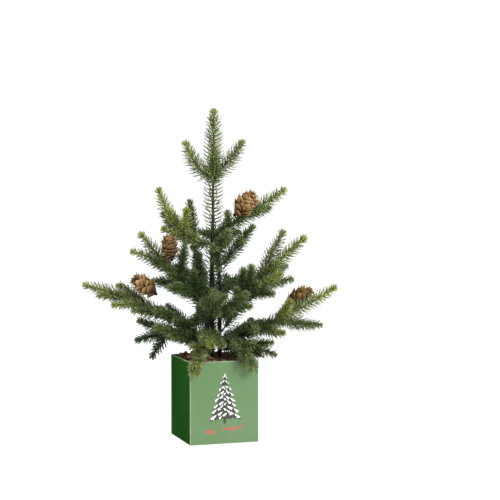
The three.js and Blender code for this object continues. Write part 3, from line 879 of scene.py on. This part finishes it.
def lay_chips():
    """The heap of bark chips: a closed bed, and single chips on it."""
    soup = Soup()
    # the bed that the chips lie in
    steps = 30
    grid = []
    for i in range(steps + 1):
        for j in range(steps + 1):
            x, y = INNER * (2 * i / steps - 1), INNER * (2 * j / steps - 1)
            z = chip_surface(x, y) - 0.0035 + 0.0012 * math.sin(310 * x + 90 * y) * math.cos(270 * y)
            grid.append((x, y, z))
    faces = grid_faces(steps + 1, steps + 1)
    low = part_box("bark_chips")[0].z
    # the same points again on the underside, and walls between the two
    count = len(grid)
    grid += [(x, y, low) for x, y, _ in grid]
    faces += [tuple(v + count for v in reversed(f)) for f in faces]
    faces += [(b, a, a + count, b + count) for a, b in grid_rim(steps + 1, steps + 1)]
    soup.add(grid, faces, 0, (0.1, 0.1, 0.3))
    # the chips themselves
    for _ in range(CHIPS):
        x, y = RNG.uniform(-INNER + 0.004, INNER - 0.004, 2)
        size = RNG.uniform(CHIP_LEAST, CHIP_MOST) * MM
        z = chip_surface(x, y) + RNG.uniform(-0.003, 0.0022)
        reach = max(size) / 2 * 1.1
        x = min(max(x, -INNER + reach), INNER - reach)
        y = min(max(y, -INNER + reach), INNER - reach)
        light = RNG.random()
        tone = (0.95 if light > 0.72 else 0.5 * light, 0.7 if 0.4 < light < 0.7 else 0.1, RNG.random())
        add_chip(soup, np.array([x, y, z]), size, RNG.uniform(0, 6.28), RNG.normal(0, 0.6), tone)
    chips = soup.make("bark_chip_bed", [BARK], smooth=False)
    return settle(chips, "base", ["bark_chips"])


lay_chips()


# ---------------------------------------------------------------- the box and its print
def dress(name, mat):
    """Gives a CAD solid, shown as it is, its material."""
    obj = frame["nodes"][name]
    if not obj.material_slots:
        obj.data.materials.append(mat)
    for slot in obj.material_slots:
        slot.material = mat


# front and back in the paler copy of the green, a painted reflection; the sides in the darker copy, painted
# shade
dress("box_front", GREEN_PAINT_WITH_PAINTED_GLARE)
dress("box_back", GREEN_PAINT_WITH_PAINTED_GLARE)
dress("box_left", GREEN_PAINT_WITH_PAINTED_SHADE)
dress("box_right", GREEN_PAINT_WITH_PAINTED_SHADE)
dress("box_base", BOARD)
dress("plaster_weight", PLASTER)
dress("foam_block", FOAM)

FACE_Y = BOX_LO.y


def print_shape(soup, outline, mat, depth):
    """A flat inked shape on the front, given as (x, z) points in metres, with a film's thickness."""
    n = len(outline)
    front = [(x, FACE_Y - depth, z) for x, z in outline]
    back = [(x, FACE_Y + 0.00002, z) for x, z in outline]
    faces = [tuple(range(n)), tuple(range(2 * n - 1, n - 1, -1))]
    faces += [(k, k + n, (k + 1) % n + n, (k + 1) % n) for k in range(n)]
    soup.add(front + back, faces, mat)


def print_bough(soup, rng, start, reach, drop, thick, depth):
    """One drooping bough of the printed spruce, with a ragged underside and snow along its top."""
    (x0, z0), teeth = start, 8

    def crest(u):
        return z0 - drop * (0.35 * u + 0.65 * u ** 1.4)

    upper = [(x0 + reach * u, crest(u)) for u in np.linspace(0, 1, 8)]
    lower = []
    for k in range(teeth):
        u = 1 - (k + 0.4) / teeth
        hang = thick * (0.25 + 0.75 * (1 - u) ** 0.4) * (1.35 if k % 2 else 0.7) * rng.uniform(0.85, 1.15)
        lower.append((x0 + reach * (u + 0.05), crest(u) - hang))
    print_shape(soup, upper + lower, 0, depth)
    # drifts of snow, each with a wavy lower edge
    ends = [rng.uniform(0.08, 0.16), rng.uniform(0.46, 0.6), 0.97]
    for n, (a, b) in enumerate(zip(ends, ends[1:])):
        a += rng.uniform(0.03, 0.08) if n else 0
        top, foot = [], []
        for k in range(8):
            u = a + (b - a) * k / 7
            swell = math.sin(math.pi * (k + 0.3) / 7.6)
            top.append((x0 + reach * u, crest(u) + 0.0002 + 0.0003 * swell))
            sag = thick * swell * (0.66 if k % 2 else 0.36) * rng.uniform(0.8, 1.2)
            foot.append((x0 + reach * (u + 0.03), crest(u) - sag))
        print_shape(soup, top + foot[::-1], 1, depth + 0.000004)


def print_front():
    """The snowy spruce on the front, and two brush strokes under it."""
    soup = Soup()
    rng = np.random.default_rng(77)
    # where its trunk stands, and the heights of its lowest boughs and its top
    centre, foot, crown = 0.0003, 0.0335, 0.0985
    trunk = [(centre - 0.0022, foot - 0.0048), (centre + 0.0018, foot - 0.0052),
             (centre + 0.0014, foot + 0.004), (centre - 0.0018, foot + 0.004)]
    print_shape(soup, trunk, 0, 0.00004)
    mass = [(centre, crown - 0.004), (centre + 0.0152, foot + 0.0045), (centre + 0.007, foot + 0.0006),
            (centre - 0.002, foot + 0.0022), (centre - 0.009, foot + 0.0002),
            (centre - 0.0162, foot + 0.0048)]
    print_shape(soup, mass[::-1], 0, 0.00005)
    depth, tiers = 0.00006, 8
    for k in reversed(range(tiers)):
        u = k / (tiers - 1)
        z = crown - 0.0035 - (crown - foot - 0.0165) * u
        reach = 0.0040 + 0.0192 * u ** 0.9
        for way in ((1, -1) if k % 2 else (-1, 1)):
            out = way * reach * rng.uniform(0.88, 1.04)
            print_bough(soup, rng, (centre - way * 0.0006, z + rng.uniform(-0.0008, 0.0008)), out,
                        0.0040 + 0.0066 * u, 0.0034 + 0.0040 * u, depth)
            depth += 0.000009
        # a short bough that faces the front, to one side of the middle
        if k > 1:
            way = -1 if k % 2 else 1
            print_bough(soup, rng, (centre - way * reach * 0.2, z - 0.003), way * reach * 0.58,
                        0.0040 + 0.0034 * u, 0.0030 + 0.0026 * u, depth)
            depth += 0.000009
    tip = [(centre - 0.0010, crown - 0.006), (centre + 0.0003, crown), (centre + 0.0012, crown - 0.0055)]
    print_shape(soup, tip[::-1], 1, depth)
    # two plain strokes of a dry brush under it, each of a few streaks, with no letters in them
    # each stroke is (from, to, height, rise, waves, width)
    strokes = ((-0.0305, -0.0090, 0.0172, 0.0004, 1.0, 0.0058),
               (-0.0060, 0.0325, 0.0198, 0.0030, 1.5, 0.0044))
    streaks, steps = 5, 30
    for start, end, low, rise, waves, height in strokes:
        for n in range(streaks):
            first, last = start + rng.uniform(0, 0.003), end - rng.uniform(0, 0.005)
            level = height * ((n + 0.5) / streaks - 0.5)
            upper, lower = [], []
            for k in range(steps + 1):
                u = k / steps
                x = first + (last - first) * u
                z = low + level + rise * u + 0.0008 * math.sin(2 * math.pi * waves * u)
                thick = 1.1 * height / streaks * math.sin(math.pi * (0.03 + 0.94 * u)) ** 0.6
                thick *= 1.1 - 0.4 * u
                upper.append((x, z + thick / 2 + rng.uniform(-0.0001, 0.0001)))
                lower.append((x, z - thick / 2 + rng.uniform(-0.0001, 0.0001)))
            print_shape(soup, lower + upper[::-1], 2, 0.0001 + 0.000004 * n)
    art = soup.make("front_print", [TREE_INK, SNOW_INK, RED_INK], smooth=False)
    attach(art, "base")


print_front()


# ---------------------------------------------------------------- studio
def glowing(name, glow, diffuse):
    """A matt white of the studio that also shines by itself."""
    m, _, shader = material(name)
    shader.inputs["Base Color"].default_value = (diffuse, diffuse, diffuse, 1)
    shader.inputs["Roughness"].default_value = 1.0
    shader.inputs["Specular IOR Level"].default_value = 0.0
    shader.inputs["Emission Color"].default_value = (1, 1, 1, 1)
    shader.inputs["Emission Strength"].default_value = glow
    return m


floor_mesh = bpy.data.meshes.new("studio_floor")
floor_mesh.from_pydata([(-9, -9, 0), (9, -9, 0), (9, 9, 0), (-9, 9, 0)], [], [(0, 1, 2, 3)])
floor_mesh.materials.append(glowing("studio_white", 0.86, 0.45))
floor = bpy.data.objects.new("studio_floor", floor_mesh)
bpy.context.scene.collection.objects.link(floor)

bpy.ops.mesh.primitive_uv_sphere_add(segments=48, ring_count=24, radius=8.9)
sweep = bpy.context.object
sweep.name = "studio_sweep"
sweep.data.materials.append(glowing("studio_bright", 1.02, 0.0))
for rays in ("visible_diffuse", "visible_glossy", "visible_transmission", "visible_shadow"):
    setattr(sweep, rays, False)

world = bpy.data.worlds.new("studio")
bpy.context.scene.world = world
world.use_nodes = True
world.node_tree.nodes["Background"].inputs[0].default_value = (1, 1, 1, 1)
world.node_tree.nodes["Background"].inputs[1].default_value = 0.4


def softbox(name, where, target, size, power):
    """A rectangular lamp that points at a target."""
    data = bpy.data.lights.new(name, "AREA")
    data.shape = "RECTANGLE"
    data.size, data.size_y = size
    data.energy = power
    lamp = bpy.data.objects.new(name, data)
    lamp.location = where
    lamp.rotation_euler = (Vector(target) - Vector(where)).to_track_quat("-Z", "Y").to_euler()
    bpy.context.scene.collection.objects.link(lamp)


softbox("key_light", (0.9, -1.7, 1.3), (0, 0, 0.2), (0.9, 0.9), 42)
softbox("top_light", (-0.3, -0.2, 1.7), (0, 0, 0.2), (1.0, 1.0), 14)

camera_data = bpy.data.cameras.new("view")
camera_data.lens = 111.96
camera_data.sensor_width = 36
camera_data.clip_start, camera_data.clip_end = 0.05, 60
camera = bpy.data.objects.new("view", camera_data)
camera.location = (-0.63112, -2.06192, 0.40082)
camera.rotation_euler = (math.radians(90 - 3.65), 0, math.radians(-18.35))
bpy.context.scene.collection.objects.link(camera)
bpy.context.scene.camera = camera
bpy.context.scene.view_settings.view_transform = "Standard"
